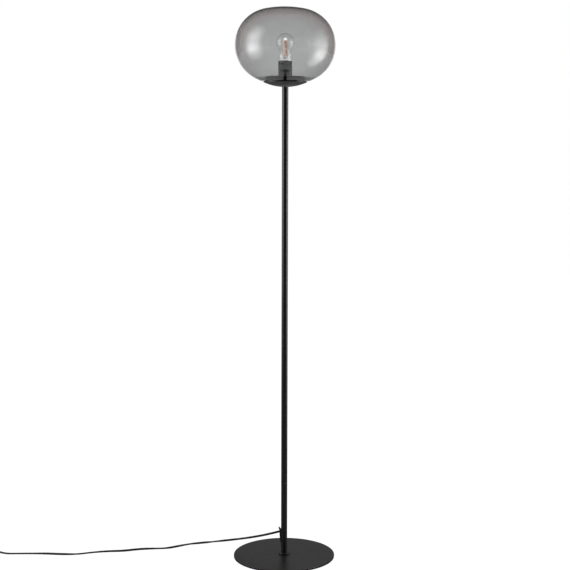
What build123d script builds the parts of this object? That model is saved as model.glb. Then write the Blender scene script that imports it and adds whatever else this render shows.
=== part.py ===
"""Globe floor lamp: a flattened smoked-glass globe on a slim pole with a round steel base.

The origin is the centre of the base's underside, +Z is up, and the cord leaves towards -X.
All sizes are in millimetres.
"""

from build123d import *
from math import asin, atan2, cos, degrees, dist, pi, radians, sin, sqrt, tan
import os

os.makedirs("parts", exist_ok=True)

# ---------------------------------------------------------------- driving dimensions

# base
base_diameter = 260.0
base_thickness = 5.0
base_edge_round = 0.8
pad_thickness = 1.0
pad_inset = 5.0

# foot collar and the screw that holds the pole
collar_diameter = 28.0
collar_height = 4.0
collar_floor = 1.5
base_screw_diameter = 8.0
base_screw_head_diameter = 16.0
base_screw_length = 22.0
hex_key_size = 5.0
hex_key_depth = 2.6
foot_plug_length = 20.0

# pole, in two sections
pole_diameter = 16.0
pole_wall = 1.2
pole_section_length = 598.0
coupler_length = 60.0
coupler_wall = 2.2
top_bush_length = 20.0

# threaded tube through the head
nipple_diameter = 10.0
nipple_bore = 7.2
nipple_engagement = 14.0
nut_across_flats = 14.0
nut_height = 3.0

# dish under the glass
dish_diameter = 108.0
dish_underside_radius = 132.0
dish_flat_diameter = 24.0
dish_wall = 1.4
dish_lip = 1.7

# seal ring and the locator that centres the glass
seal_thickness = 0.8
seal_width = 4.6
locator_height = 12.9
locator_wall = 1.2
locator_edge_round = 3.0
spacer_diameter = 16.0

# glass globe: shoulders of one radius, blended into a flat crown and a rounder underside
glass_diameter = 250.0
glass_wall = 3.0
glass_upper_height = 93.5
glass_lower_height = 99.2
glass_shoulder_radius = 90.0
glass_hole_diameter = 102.0

# lampholder
holder_diameter = 34.5
holder_base_height = 14.0
holder_shell_height = 23.5
holder_floor = 2.0
holder_wall = 1.6
holder_edge_round = 1.6
holder_liner_wall = 2.4
holder_core_height = 6.0
screw_shell_wall = 0.4
contact_diameter = 9.0
contact_height = 2.5
terminal_screw_diameter = 4.0
terminal_screw_spacing = 17.0

# bulb
cap_diameter = 26.2
cap_rim_height = 4.6
cap_thread_pitch = 3.6
cap_thread_turns = 3
cap_thread_depth = 0.7
cap_wall = 0.4
cap_insulator_height = 5.0
cap_insulator_diameter = 21.0
bulb_contact_diameter = 9.6
bulb_contact_height = 1.2
bulb_diameter = 47.0
bulb_neck_diameter = 25.8
bulb_height_above_cap = 65.6
bulb_neck_blend = 20.0
bulb_glass_wall = 0.8
stem_flare_height = 7.4
stem_tube_radius = 3.2
stem_rod_radius = 1.1
stem_rod_height = 54.0
filament_count = 4
filament_diameter = 2.6
filament_circle = 8.2
filament_turn = 20.0
filament_length = 38.9
filament_start = 8.6
bead_diameter = 9.0
bead_height = 6.7

# cord, hood and the cable inside the pole
cord_diameter = 5.0
cord_lift = 0.1
exit_height = 65.2
exit_reach = 12.5
exit_slope = 15.0
cable_bend_radius = 6.0
hood_bottom = 35.8
hood_top = 75.8
hood_width = 11.0
hood_toe = 10.7
hood_belly = 11.9
hood_neck = 12.1
hood_lip = 14.4
slot_width = 7.0
slot_bottom = 56.0
slot_top = 73.0

# coil of the cord's unseen length
coil_outer_radius = 36.6
coil_turn_step = 5.6
coil_layer_step = 5.6
turns_in = 3.0
turns_out = 3.25
coil_centre_x = -875.0
coil_biarcs_per_turn = 4

# foot switch on the cord
switch_centre_x = -795.0
switch_length = 64.0
switch_width = 44.0
switch_height = 23.0
switch_split = cord_diameter / 2 + cord_lift + coil_layer_step
switch_wall = 2.0
switch_edge_round = 5.0
switch_nozzle_diameter = 9.0
switch_nozzle_length = 6.0
button_diameter = 30.0
button_proud = 4.0
button_travel = 3.0
button_flange = 1.4
button_flange_height = 1.5
button_wall = 1.6
module_length = 20.0
module_width = 16.0

# plug
plug_thickness = 13.7
plug_width = 35.0
plug_nose_width = 25.0
plug_tail_width = 14.0
plug_length = 36.0
plug_sleeve_diameter = 8.6
plug_sleeve_length = 12.0
plug_start_y = 86.0
plug_edge_round = 2.0
pin_spacing = 19.0
pin_diameter = 4.0
pin_length = 19.0
pin_sleeve_length = 10.0
pin_core_diameter = 3.0
pin_root = 4.0

# clearances
push_fit = 0.05
running_fit = 0.1
seat_gap = 0.3
loose_fit = 0.7

# ---------------------------------------------------------------- heights worked out from the sizes

base_top = pad_thickness + base_thickness
collar_top = base_top + collar_height
pole_foot = base_top + collar_floor
pole_joint = pole_foot + pole_section_length
pole_top = pole_joint + pole_section_length
pole_bore_radius = pole_diameter / 2 - pole_wall

dish_floor = pole_top + dish_wall
dish_arc_centre = pole_top + sqrt(dish_underside_radius**2 - (dish_flat_diameter / 2) ** 2)
dish_rim_low = dish_arc_centre - sqrt(dish_underside_radius**2 - (dish_diameter / 2) ** 2)
dish_rim_top = dish_rim_low + dish_lip

glass_radius = glass_diameter / 2
glass_hole_radius = glass_hole_diameter / 2
locator_radius = glass_hole_radius - loose_fit


def crown(height):
    """Crown radius and blend angle of one half of the globe's outline."""
    shoulder = glass_shoulder_radius
    radius = (glass_radius**2 + height**2 - 2 * glass_radius * shoulder) / (2 * (height - shoulder))
    return radius, atan2(radius - height, glass_radius - shoulder)


upper_crown_radius, upper_blend = crown(glass_upper_height)
lower_crown_radius, lower_blend = crown(glass_lower_height)
lower_crown_centre_drop = sqrt((lower_crown_radius - glass_wall) ** 2 - glass_hole_radius**2)
glass_seat = dish_rim_top + seal_thickness
lower_crown_centre = glass_seat + lower_crown_centre_drop
glass_equator = lower_crown_centre - lower_crown_radius + glass_lower_height
glass_top = glass_equator + glass_upper_height
upper_crown_centre = glass_top - upper_crown_radius

locator_top = dish_rim_top + locator_height
holder_bottom = locator_top
holder_split = holder_bottom + holder_base_height
holder_top = holder_split + holder_shell_height
core_top = holder_split
core_bottom = core_top - holder_core_height
holder_nut_bottom = holder_bottom + holder_floor
nipple_bottom = pole_top - nipple_engagement
nipple_top = core_bottom - seat_gap

contact_top = core_top + contact_height
cap_bottom = contact_top + bulb_contact_height
cap_top = holder_top + seat_gap + cap_rim_height / 2
envelope_top = cap_top + bulb_height_above_cap
bulb_centre = envelope_top - bulb_diameter / 2

cord_radius = cord_diameter / 2
cord_floor = cord_radius + cord_lift
coil_upper = cord_floor + coil_layer_step
plug_axis_height = plug_thickness / 2
print("overall height", round(glass_top, 2))


def write(name, node):
    """Labels one finished piece and writes it as a STEP file of its own."""
    node.part.label = name
    export_step(node.part, f"parts/{name}.step")


# ---------------------------------------------------------------- base

with BuildPart() as base_pad:
    Cylinder(base_diameter / 2 - pad_inset, pad_thickness, align=(Align.CENTER, Align.CENTER, Align.MIN))
write("base_pad", base_pad)

with BuildPart() as base_plate:
    with BuildSketch(Plane.XY.offset(pad_thickness)):
        Circle(base_diameter / 2)
    extrude(amount=base_thickness)
    fillet(base_plate.edges().group_by(Axis.Z)[-1], base_edge_round)
    with Locations(Plane.XY.offset(pad_thickness).rotated((180, 0, 0))):
        CounterSinkHole(
            base_screw_diameter / 2 + running_fit,
            base_screw_head_diameter / 2 + running_fit,
            counter_sink_angle=90,
        )
write("base_plate", base_plate)

screw_head_height = (base_screw_head_diameter - base_screw_diameter) / 2
with BuildPart() as base_screw:
    with BuildSketch(Plane.XZ):
        with BuildLine():
            Polyline(
                (0, pad_thickness),
                (base_screw_head_diameter / 2, pad_thickness),
                (base_screw_diameter / 2, pad_thickness + screw_head_height),
                (base_screw_diameter / 2, pad_thickness + base_screw_length - 1),
                (base_screw_diameter / 2 - 1, pad_thickness + base_screw_length),
                (0, pad_thickness + base_screw_length),
                close=True,
            )
        make_face()
    revolve(axis=Axis.Z)
    with BuildSketch(Plane.XY.offset(pad_thickness)):
        RegularPolygon(hex_key_size / 2, 6, major_radius=False)
    extrude(amount=hex_key_depth, mode=Mode.SUBTRACT)
write("base_screw", base_screw)

with BuildPart() as foot_collar:
    with BuildSketch(Plane.XY.offset(base_top)):
        Circle(collar_diameter / 2)
        Circle(base_screw_diameter / 2 + running_fit, mode=Mode.SUBTRACT)
    extrude(amount=collar_height)
    with BuildSketch(Plane.XY.offset(pole_foot)):
        Circle(pole_diameter / 2 + push_fit)
    extrude(amount=collar_height, mode=Mode.SUBTRACT)
    fillet(foot_collar.edges().group_by(Axis.Z)[-1].sort_by(SortBy.RADIUS)[-1], collar_height / 5)
write("foot_collar", foot_collar)

with BuildPart() as foot_plug:
    with BuildSketch(Plane.XY.offset(pole_foot)):
        Circle(pole_bore_radius - push_fit)
        Circle(base_screw_diameter / 2 + push_fit, mode=Mode.SUBTRACT)
    extrude(amount=foot_plug_length)
    chamfer(foot_plug.edges().group_by(Axis.Z)[-1].sort_by(SortBy.RADIUS)[-1], 1)
write("foot_plug", foot_plug)

# ---------------------------------------------------------------- pole

with BuildPart() as lower_pole:
    with BuildSketch(Plane.XY.offset(pole_foot)):
        Circle(pole_diameter / 2)
        Circle(pole_bore_radius, mode=Mode.SUBTRACT)
    extrude(amount=pole_section_length)
    with BuildSketch(Plane.YZ):
        with Locations((0, (slot_bottom + slot_top) / 2)):
            SlotOverall(slot_top - slot_bottom, slot_width, rotation=90)
    extrude(amount=-pole_diameter, mode=Mode.SUBTRACT)
write("lower_pole", lower_pole)

with BuildPart() as upper_pole:
    with BuildSketch(Plane.XY.offset(pole_joint)):
        Circle(pole_diameter / 2)
        Circle(pole_bore_radius, mode=Mode.SUBTRACT)
    extrude(amount=pole_section_length)
write("upper_pole", upper_pole)

with BuildPart() as pole_coupler:
    with BuildSketch(Plane.XY.offset(pole_joint - coupler_length / 2)):
        Circle(pole_bore_radius - push_fit)
        Circle(pole_bore_radius - coupler_wall, mode=Mode.SUBTRACT)
    extrude(amount=coupler_length)
    coupler_ends = pole_coupler.edges().group_by(Axis.Z)
    chamfer([ends.sort_by(SortBy.RADIUS)[-1] for ends in (coupler_ends[0], coupler_ends[-1])], 1)
write("pole_coupler", pole_coupler)

with BuildPart() as pole_top_bush:
    with BuildSketch(Plane.XY.offset(pole_top)):
        Circle(pole_bore_radius - push_fit)
        Circle(nipple_diameter / 2 + push_fit, mode=Mode.SUBTRACT)
    extrude(amount=-top_bush_length)
write("pole_top_bush", pole_top_bush)

# ---------------------------------------------------------------- head: dish, locator and their fastenings

with BuildPart() as threaded_tube:
    with BuildSketch(Plane.XY.offset(nipple_bottom)):
        Circle(nipple_diameter / 2)
        Circle(nipple_bore / 2, mode=Mode.SUBTRACT)
    extrude(amount=nipple_top - nipple_bottom)
write("threaded_tube", threaded_tube)

# The underside is one arc that carries on the glass's outline; the inner face runs parallel to it.
with BuildPart() as dish:
    with BuildSketch(Plane.XZ):
        with BuildLine():
            inner_radius = dish_underside_radius - dish_wall
            land = dish_flat_diameter / 2
            rim = dish_diameter / 2
            rim_inner = rim - dish_wall
            land_inner = sqrt(inner_radius**2 - (dish_arc_centre - dish_floor) ** 2)
            hole = nipple_diameter / 2 + push_fit
            rim_inner_low = dish_arc_centre - sqrt(inner_radius**2 - rim_inner**2)
            Line((hole, pole_top), (land, pole_top))
            CenterArc(
                (0, dish_arc_centre),
                dish_underside_radius,
                -degrees(atan2(dish_arc_centre - pole_top, land)),
                degrees(asin(rim / dish_underside_radius) - asin(land / dish_underside_radius)),
            )
            Polyline((rim, dish_rim_low), (rim, dish_rim_top), (rim_inner, dish_rim_top), (rim_inner, rim_inner_low))
            CenterArc(
                (0, dish_arc_centre),
                inner_radius,
                -degrees(atan2(dish_arc_centre - rim_inner_low, rim_inner)),
                -degrees(asin(rim_inner / inner_radius) - asin(land_inner / inner_radius)),
            )
            Polyline((land_inner, dish_floor), (hole, dish_floor), (hole, pole_top))
        make_face()
    revolve(axis=Axis.Z)
write("dish", dish)

# Two identical nuts: one holds the dish, the other the lampholder.
with BuildPart() as tube_nuts:
    for nut_seat in (dish_floor, holder_nut_bottom):
        with BuildSketch(Plane.XY.offset(nut_seat)):
            RegularPolygon(nut_across_flats / 2, 6, major_radius=False)
            Circle(nipple_diameter / 2 + push_fit, mode=Mode.SUBTRACT)
        extrude(amount=nut_height)
write("tube_nuts", tube_nuts)

with BuildPart() as spacer_tube:
    with BuildSketch(Plane.XY.offset(dish_floor + nut_height)):
        Circle(spacer_diameter / 2)
        Circle(nipple_diameter / 2 + running_fit, mode=Mode.SUBTRACT)
    extrude(amount=locator_top - locator_wall - dish_floor - nut_height)
write("spacer_tube", spacer_tube)


def dish_inner_height(radius):
    """Height of the dish's inner face at a distance from the axis."""
    return dish_arc_centre - sqrt(inner_radius**2 - radius**2)


with BuildPart() as glass_locator:
    with BuildSketch(Plane.XZ):
        with BuildLine():
            bore = nipple_diameter / 2 + running_fit
            skirt_inner = locator_radius - locator_wall
            skirt_foot = dish_inner_height(locator_radius) + seat_gap
            Polyline(
                (bore, locator_top),
                (locator_radius, locator_top),
                (locator_radius, skirt_foot),
                (skirt_inner, skirt_foot),
                (skirt_inner, locator_top - locator_wall),
                (bore, locator_top - locator_wall),
                close=True,
            )
        make_face()
    revolve(axis=Axis.Z)
    locator_rims = glass_locator.edges().filter_by(GeomType.CIRCLE)
    fillet(locator_rims.group_by(Axis.Z)[-1].sort_by(SortBy.RADIUS)[-1], locator_edge_round)
write("glass_locator", glass_locator)

with BuildPart() as glass_seal:
    with BuildSketch(Plane.XY.offset(dish_rim_top)):
        Circle(dish_diameter / 2)
        Circle(locator_radius + loose_fit, mode=Mode.SUBTRACT)
    extrude(amount=seal_thickness - seat_gap / 3)
write("glass_seal", glass_seal)

# ---------------------------------------------------------------- glass globe

with BuildPart() as glass_globe:
    with BuildSketch(Plane.XZ):
        with BuildLine():
            for inset in (0, glass_wall):
                lower_radius = lower_crown_radius - inset
                seat_angle = asin((lower_crown_centre - glass_seat) / lower_radius)
                CenterArc(
                    (0, lower_crown_centre), lower_radius, -degrees(seat_angle), degrees(seat_angle - lower_blend)
                )
                CenterArc(
                    (glass_radius - glass_shoulder_radius, glass_equator),
                    glass_shoulder_radius - inset,
                    -degrees(lower_blend),
                    degrees(lower_blend + upper_blend),
                )
                CenterArc(
                    (0, upper_crown_centre),
                    upper_crown_radius - inset,
                    degrees(upper_blend),
                    90 - degrees(upper_blend),
                )
            outer_seat_radius = sqrt(lower_crown_radius**2 - (lower_crown_centre - glass_seat) ** 2)
            Line((glass_hole_radius, glass_seat), (outer_seat_radius, glass_seat))
            Line((0, glass_top), (0, glass_top - glass_wall))
        make_face()
    revolve(axis=Axis.Z)
write("glass_globe", glass_globe)

# ---------------------------------------------------------------- lampholder

with BuildPart() as holder_base:
    with BuildSketch(Plane.XY.offset(holder_bottom)):
        Circle(holder_diameter / 2)
        Circle(nipple_diameter / 2 + running_fit, mode=Mode.SUBTRACT)
    extrude(amount=holder_base_height)
    with BuildSketch(Plane.XY.offset(holder_nut_bottom)):
        Circle(holder_diameter / 2 - holder_wall)
    extrude(amount=holder_base_height, mode=Mode.SUBTRACT)
write("holder_base", holder_base)

holder_bore_radius = holder_diameter / 2 - holder_liner_wall
spigot_radius = holder_diameter / 2 - holder_wall - push_fit

# The shell's spigot screws into the base and its mouth is rounded.
with BuildPart() as holder_shell:
    with BuildSketch(Plane.XY.offset(holder_split)):
        Circle(holder_diameter / 2)
    extrude(amount=holder_shell_height)
    with BuildSketch(Plane.XY.offset(core_bottom)):
        Circle(spigot_radius)
    extrude(amount=holder_core_height)
    with BuildSketch(Plane.XY.offset(core_bottom)):
        Circle(holder_bore_radius)
    extrude(amount=holder_core_height + holder_shell_height, mode=Mode.SUBTRACT)
    shell_rims = holder_shell.edges().group_by(Axis.Z)[-1]
    fillet(shell_rims.sort_by(SortBy.RADIUS)[-1], holder_edge_round)
write("holder_shell", holder_shell)

core_radius = holder_bore_radius - push_fit
with BuildPart() as holder_core:
    with BuildSketch(Plane.XY.offset(core_bottom)):
        Circle(core_radius)
        with Locations((0, terminal_screw_spacing / 2), (0, -terminal_screw_spacing / 2)):
            Circle(terminal_screw_diameter / 2 + push_fit, mode=Mode.SUBTRACT)
    extrude(amount=holder_core_height)
write("holder_core", holder_core)

with BuildPart() as terminal_screws:
    with BuildSketch(Plane.XY.offset(core_bottom)):
        with Locations((0, terminal_screw_spacing / 2), (0, -terminal_screw_spacing / 2)):
            Circle(terminal_screw_diameter / 2)
    extrude(amount=holder_core_height)
write("terminal_screws", terminal_screws)

screw_shell_outer = core_radius
with BuildPart() as screw_shell:
    with BuildSketch(Plane.XY.offset(core_top)):
        Circle(screw_shell_outer)
        Circle(screw_shell_outer - screw_shell_wall, mode=Mode.SUBTRACT)
    extrude(amount=holder_shell_height - holder_edge_round)
write("screw_shell", screw_shell)

with BuildPart() as centre_contact:
    with BuildSketch(Plane.XY.offset(core_top)):
        Circle(contact_diameter / 2)
    extrude(amount=contact_height - seat_gap)
    fillet(centre_contact.edges().group_by(Axis.Z)[-1], 1)
write("centre_contact", centre_contact)

# ---------------------------------------------------------------- bulb

cap_radius = cap_diameter / 2
thread_top = holder_top - seat_gap
thread_bottom = thread_top - cap_thread_turns * cap_thread_pitch
thread_root = cap_radius - cap_thread_depth

# The cap's rolled thread is drawn as rings: crests and roots by turns up the cap.
with BuildPart() as bulb_cap:
    with BuildSketch(Plane.XZ):
        with BuildLine():
            crests = []
            for turn in range(cap_thread_turns):
                ring = thread_bottom + turn * cap_thread_pitch
                crests += [(thread_root, ring), (cap_radius, ring + cap_thread_pitch / 2)]
            Polyline(
                (cap_insulator_diameter / 2, cap_bottom + cap_insulator_height),
                *crests,
                (thread_root, thread_top),
                (bulb_neck_diameter / 2 + cap_wall, cap_top),
                (bulb_neck_diameter / 2, cap_top),
                (thread_root - cap_wall, thread_top),
                (thread_root - cap_wall, thread_bottom),
                (cap_insulator_diameter / 2 - cap_wall, cap_bottom + cap_insulator_height),
                close=True,
            )
        make_face()
    revolve(axis=Axis.Z)
write("bulb_cap", bulb_cap)

with BuildPart() as cap_insulator:
    with BuildSketch(Plane.XZ):
        with BuildLine():
            Polyline(
                (0, cap_bottom),
                (bulb_contact_diameter / 2, cap_bottom),
                (cap_insulator_diameter / 2, cap_bottom + cap_insulator_height),
                (0, cap_bottom + cap_insulator_height),
                close=True,
            )
        make_face()
    revolve(axis=Axis.Z)
write("cap_insulator", cap_insulator)

with BuildPart() as bulb_contact:
    with BuildSketch(Plane.XY.offset(contact_top)):
        Circle(bulb_contact_diameter / 2)
    extrude(amount=bulb_contact_height)
    chamfer(bulb_contact.edges().group_by(Axis.Z)[0], bulb_contact_height / 2)
write("bulb_contact", bulb_contact)

neck_radius = bulb_neck_diameter / 2
blend_centre_x = neck_radius + bulb_neck_blend
blend_drop = sqrt((bulb_diameter / 2 + bulb_neck_blend) ** 2 - blend_centre_x**2)
blend_angle = atan2(blend_drop, blend_centre_x)

# A round head runs into the neck through one hollow blend; the inner face is parallel to the outer.
with BuildPart() as bulb_envelope:
    with BuildSketch(Plane.XZ):
        with BuildLine():
            for inset in (0, bulb_glass_wall):
                CenterArc(
                    (0, bulb_centre),
                    bulb_diameter / 2 - inset,
                    -degrees(blend_angle),
                    90 + degrees(blend_angle),
                )
                CenterArc(
                    (blend_centre_x, bulb_centre - blend_drop),
                    bulb_neck_blend + inset,
                    180 - degrees(blend_angle),
                    degrees(blend_angle),
                )
                Line((neck_radius - inset, bulb_centre - blend_drop), (neck_radius - inset, cap_top))
            Line((neck_radius, cap_top), (neck_radius - bulb_glass_wall, cap_top))
            Line((0, envelope_top), (0, envelope_top - bulb_glass_wall))
        make_face()
    revolve(axis=Axis.Z)
write("bulb_envelope", bulb_envelope)

stem_wall = bulb_glass_wall
flare_radius = neck_radius - bulb_glass_wall - seat_gap
stem_top = cap_top + stem_flare_height
with BuildPart() as bulb_stem:
    with BuildSketch(Plane.XZ):
        with BuildLine():
            Polyline(
                (flare_radius - stem_wall, cap_top),
                (flare_radius, cap_top),
                (stem_tube_radius, stem_top - stem_flare_height / 3),
                (stem_tube_radius, stem_top),
                (stem_rod_radius, stem_top + stem_tube_radius),
                (stem_rod_radius, cap_top + stem_rod_height),
                (0, cap_top + stem_rod_height),
                (0, stem_top - stem_flare_height / 3),
                close=True,
            )
        make_face()
    revolve(axis=Axis.Z)
write("bulb_stem", bulb_stem)

with BuildPart() as filaments:
    with BuildSketch(Plane.XY.offset(cap_top + filament_start)):
        with PolarLocations(filament_circle / 2, filament_count, start_angle=filament_turn):
            Circle(filament_diameter / 2)
    extrude(amount=filament_length)
write("filaments", filaments)

bead_bottom = cap_top + filament_start + filament_length
with BuildPart() as filament_bead:
    with BuildSketch(Plane.XY.offset(bead_bottom)):
        Circle(bead_diameter / 2)
        Circle(stem_rod_radius + push_fit, mode=Mode.SUBTRACT)
    extrude(amount=bead_height)
    fillet(filament_bead.edges().group_by(Axis.Z)[-1].sort_by(SortBy.RADIUS)[-1], 2)
write("filament_bead", filament_bead)

# ---------------------------------------------------------------- cord hood and the cable inside the pole

exit_point = Vector(-exit_reach, 0, exit_height)
exit_direction = Vector(-cos(radians(exit_slope)), 0, -sin(radians(exit_slope)))
cable_corner = Vector(0, 0, exit_height + exit_reach * tan(radians(exit_slope)))
tongue_side = slot_width / 2 - push_fit

with BuildPart() as cord_hood:
    with BuildSketch(Plane.XZ):
        with BuildLine():
            Polyline(
                (0, hood_bottom),
                (-pole_diameter / 2, hood_bottom),
                (-hood_toe, hood_bottom + 9),
                (-hood_belly, exit_height - 6),
                (-hood_neck, hood_top - 6),
                (-hood_lip, hood_top),
                (-hood_lip + 2, hood_top + 0.6),
                (-pole_diameter / 2 - 1, hood_top - 3.5),
                (0, hood_top - 3.5),
                close=True,
            )
        make_face()
    extrude(amount=hood_width / 2, both=True)
    fillet(cord_hood.edges().filter_by(Axis.Z, reverse=True).filter_by(Axis.Y, reverse=True), 0.5)
    Cylinder(
        pole_diameter / 2 + push_fit, 4 * hood_top, align=(Align.CENTER, Align.CENTER, Align.MIN), mode=Mode.SUBTRACT
    )
    with BuildSketch(Plane.YZ.offset(-pole_diameter / 2 - 1)):
        with Locations((0, (slot_bottom + slot_top) / 2)):
            SlotOverall(slot_top - slot_bottom - 2 * push_fit, 2 * tongue_side, rotation=90)
    extrude(amount=1 + pole_wall + 0.8)
    with BuildSketch(Plane(exit_point + exit_direction * 10, z_dir=-exit_direction)):
        Circle(cord_radius + running_fit)
    extrude(amount=exit_reach + 10, mode=Mode.SUBTRACT)
write("cord_hood", cord_hood)

with BuildPart() as pole_cable:
    with BuildLine():
        FilletPolyline(exit_point, cable_corner, (0, 0, core_bottom), radius=cable_bend_radius)
    with BuildSketch(Plane(exit_point, z_dir=-exit_direction)):
        Circle(cord_radius)
    sweep()
write("pole_cable", pole_cable)

# ---------------------------------------------------------------- cord on the floor

switch_end = switch_centre_x + switch_length / 2 + switch_nozzle_length
cord_points = [
    tuple(exit_point),
    tuple(exit_point + exit_direction * 26),
    (-72, 8, 48.7),
    (-112, 26, 36.8),
    (-152, 50, 24.4),
    (-191, 74, 12.2),
    (-226, 87, 4.6),
    (-256, 84, cord_floor),
    (-283, 66, cord_floor),
    (-307, 51.5, cord_floor),
    (-346, 49, cord_floor),
    (-385, 42.5, cord_floor),
    (-421, 28, cord_floor),
    (-463, 25.5, cord_floor),
    (-501, 17, cord_floor),
    (-535, 2.5, cord_floor),
    (-576, 0, cord_floor),
    (-617, 5.5, cord_floor),
    (-656, 5, cord_floor),
    (-692, 1, cord_floor),
    (-722, -1, cord_floor),
    (switch_end + 12, 0, switch_split),
    (switch_end - 2, 0, switch_split),
]


def fillet_radii(points):
    """One radius for each corner: 0.45 of the shorter run over the tangent of half the turn."""
    radii = []
    for before, corner, after in zip(points, points[1:], points[2:]):
        run_in = Vector(*corner) - Vector(*before)
        run_out = Vector(*after) - Vector(*corner)
        shorter = min(run_in.length, run_out.length)
        radii.append(0.45 * shorter / tan(radians(run_in.get_angle(run_out)) / 2))
    return radii


def swept_tube(points):
    """A round tube of the cord's diameter along straight runs and tangent arcs."""
    radii = fillet_radii(points)
    start = Vector(*points[0])
    with BuildPart() as tube:
        with BuildLine() as path:
            FilletPolyline(*points, radius=radii)
        with BuildSketch(Plane(start, z_dir=Vector(*points[1]) - start)):
            Circle(cord_radius)
        sweep()
    length = path.wires()[0].length
    print("radii", [round(radius) for radius in radii])
    print("tube length", round(length, 1), "volume share", round(tube.part.volume / (pi * cord_radius**2 * length), 4))
    return tube


cord_run = swept_tube(cord_points)
write("cord_run", cord_run)

# ---------------------------------------------------------------- coil of the unseen length

coil_centre = Vector(coil_centre_x, coil_outer_radius, 0)
coil_turns = turns_in + turns_out
inner_turn_radius = coil_outer_radius - turns_in * coil_turn_step


def coil_place(turn):
    """Point and direction of the coil's centre line: in on the upper layer, out on the lower."""
    angle = -pi / 2 - 2 * pi * turn
    steady = 0 < turn < coil_turns and turn != turns_in
    if turn <= turns_in:
        radius = coil_outer_radius - coil_turn_step * turn
        growth = -coil_turn_step
    else:
        radius = inner_turn_radius + coil_turn_step * (turn - turns_in)
        growth = coil_turn_step
    fall = min(max((turn - turns_in + 0.25) / 0.5, 0), 1)
    height = coil_upper - coil_layer_step * (1 - cos(pi * fall)) / 2
    dive = -coil_layer_step * pi * sin(pi * fall)
    outward = Vector(cos(angle), sin(angle), 0)
    forward = Vector(sin(angle), -cos(angle), 0)
    point = coil_centre + outward * radius + Vector(0, 0, height)
    heading = forward * (2 * pi * radius) + outward * (growth if steady else 0) + Vector(0, 0, dive)
    return point, heading.normalized()


def biarc_joint(start, start_heading, end, end_heading):
    """Joint point and heading of two tangent arcs between two headed points."""
    span = end - start
    both = start_heading + end_heading
    a = both.dot(both) - 4
    b = span.dot(both)
    reach = (b - sqrt(b * b - a * span.dot(span))) / a if abs(a) > 1e-9 else span.dot(span) / (2 * b)
    reach = abs(reach)
    first = start + start_heading * reach
    second = end - end_heading * reach
    return (first + second) / 2, (second - first).normalized()


lead_in_start = Vector(switch_centre_x - switch_length / 2 - switch_nozzle_length + 2, 0, coil_upper)
coil_steps = round(coil_turns * coil_biarcs_per_turn)
places = [coil_place(step / coil_biarcs_per_turn) for step in range(coil_steps + 1)]
with BuildPart() as cord_coil:
    with BuildLine() as coil_path:
        Line(lead_in_start, places[0][0])
        for (here, heading), (there, next_heading) in zip(places, places[1:]):
            joint, joint_heading = biarc_joint(here, heading, there, next_heading)
            TangentArc(here, joint, tangent=heading)
            TangentArc(joint, there, tangent=joint_heading)
        coil_end = places[-1][0] + places[-1][1] * cord_diameter
        Line(places[-1][0], coil_end)
    with BuildSketch(Plane(lead_in_start, z_dir=(-1, 0, 0))):
        Circle(cord_radius)
    sweep()
write("cord_coil", cord_coil)

coil_wire = coil_path.wires()[0]
samples = [tuple(coil_wire @ (k / 1500)) for k in range(1501)]
skip = round(1500 * 4 * cord_diameter / coil_wire.length)
least = min(dist(a, b) for i, a in enumerate(samples) for b in samples[i + skip :])
print("coil length", round(coil_wire.length, 1), "least self gap", round(least - cord_diameter, 2))
print("coil volume share", round(cord_coil.part.volume / (pi * cord_radius**2 * coil_wire.length), 4))

# short lead from the coil up to the plug's axis
lead_x = coil_end.X
lead_points = [
    tuple(coil_end),
    (lead_x, coil_end.Y + 12, cord_floor),
    (lead_x, coil_end.Y + 25, plug_axis_height),
    (lead_x, plug_start_y + 4, plug_axis_height),
]
plug_lead = swept_tube(lead_points)
write("plug_lead", plug_lead)

# ---------------------------------------------------------------- foot switch

switch_plane = Plane.XY.move(Location((switch_centre_x, 0, 0)))
port_radius = cord_radius + running_fit
nozzle_span = switch_length + 2 * switch_nozzle_length
ceiling = switch_height - switch_wall
module_top = switch_height + button_proud - button_wall - button_travel - seat_gap


def switch_half(low, high, opening_radius):
    """One half of the switch's hollow housing, between two heights, with an opening in its top."""
    with BuildPart() as half:
        with BuildSketch(switch_plane):
            SlotOverall(switch_length, switch_width)
        extrude(amount=switch_height)
        fillet(half.edges().group_by(Axis.Z)[-1], switch_edge_round)
        fillet(half.edges().group_by(Axis.Z)[0], 1)
        with BuildSketch(Plane.YZ.offset(switch_centre_x - nozzle_span / 2)):
            with Locations((0, switch_split)):
                Circle(switch_nozzle_diameter / 2)
        extrude(amount=nozzle_span)
        with BuildSketch(switch_plane.offset(switch_wall)):
            SlotOverall(switch_length - 2 * switch_wall, switch_width - 2 * switch_wall)
        extrude(amount=ceiling - switch_wall, mode=Mode.SUBTRACT)
        with BuildSketch(switch_plane.offset(ceiling)):
            Circle(opening_radius)
        extrude(amount=2 * switch_wall, mode=Mode.SUBTRACT)
        with BuildSketch(Plane.YZ.offset(switch_centre_x - nozzle_span / 2)):
            with Locations((0, switch_split)):
                Circle(port_radius)
        extrude(amount=nozzle_span, mode=Mode.SUBTRACT)
        with BuildSketch(switch_plane.offset(low)):
            Rectangle(2 * switch_length, 2 * switch_width)
        extrude(amount=high - low, mode=Mode.INTERSECT)
    return half


switch_cover = switch_half(switch_split, switch_height, button_diameter / 2 + seat_gap)
write("switch_cover", switch_cover)

switch_base = switch_half(0, switch_split, button_diameter / 2 + seat_gap)
write("switch_base", switch_base)

with BuildPart() as switch_module:
    with BuildSketch(switch_plane.offset(switch_wall)):
        Rectangle(module_length, module_width)
    extrude(amount=module_top - switch_wall)
    chamfer(switch_module.edges().group_by(Axis.Z)[-1], 1)
write("switch_module", switch_module)

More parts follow.
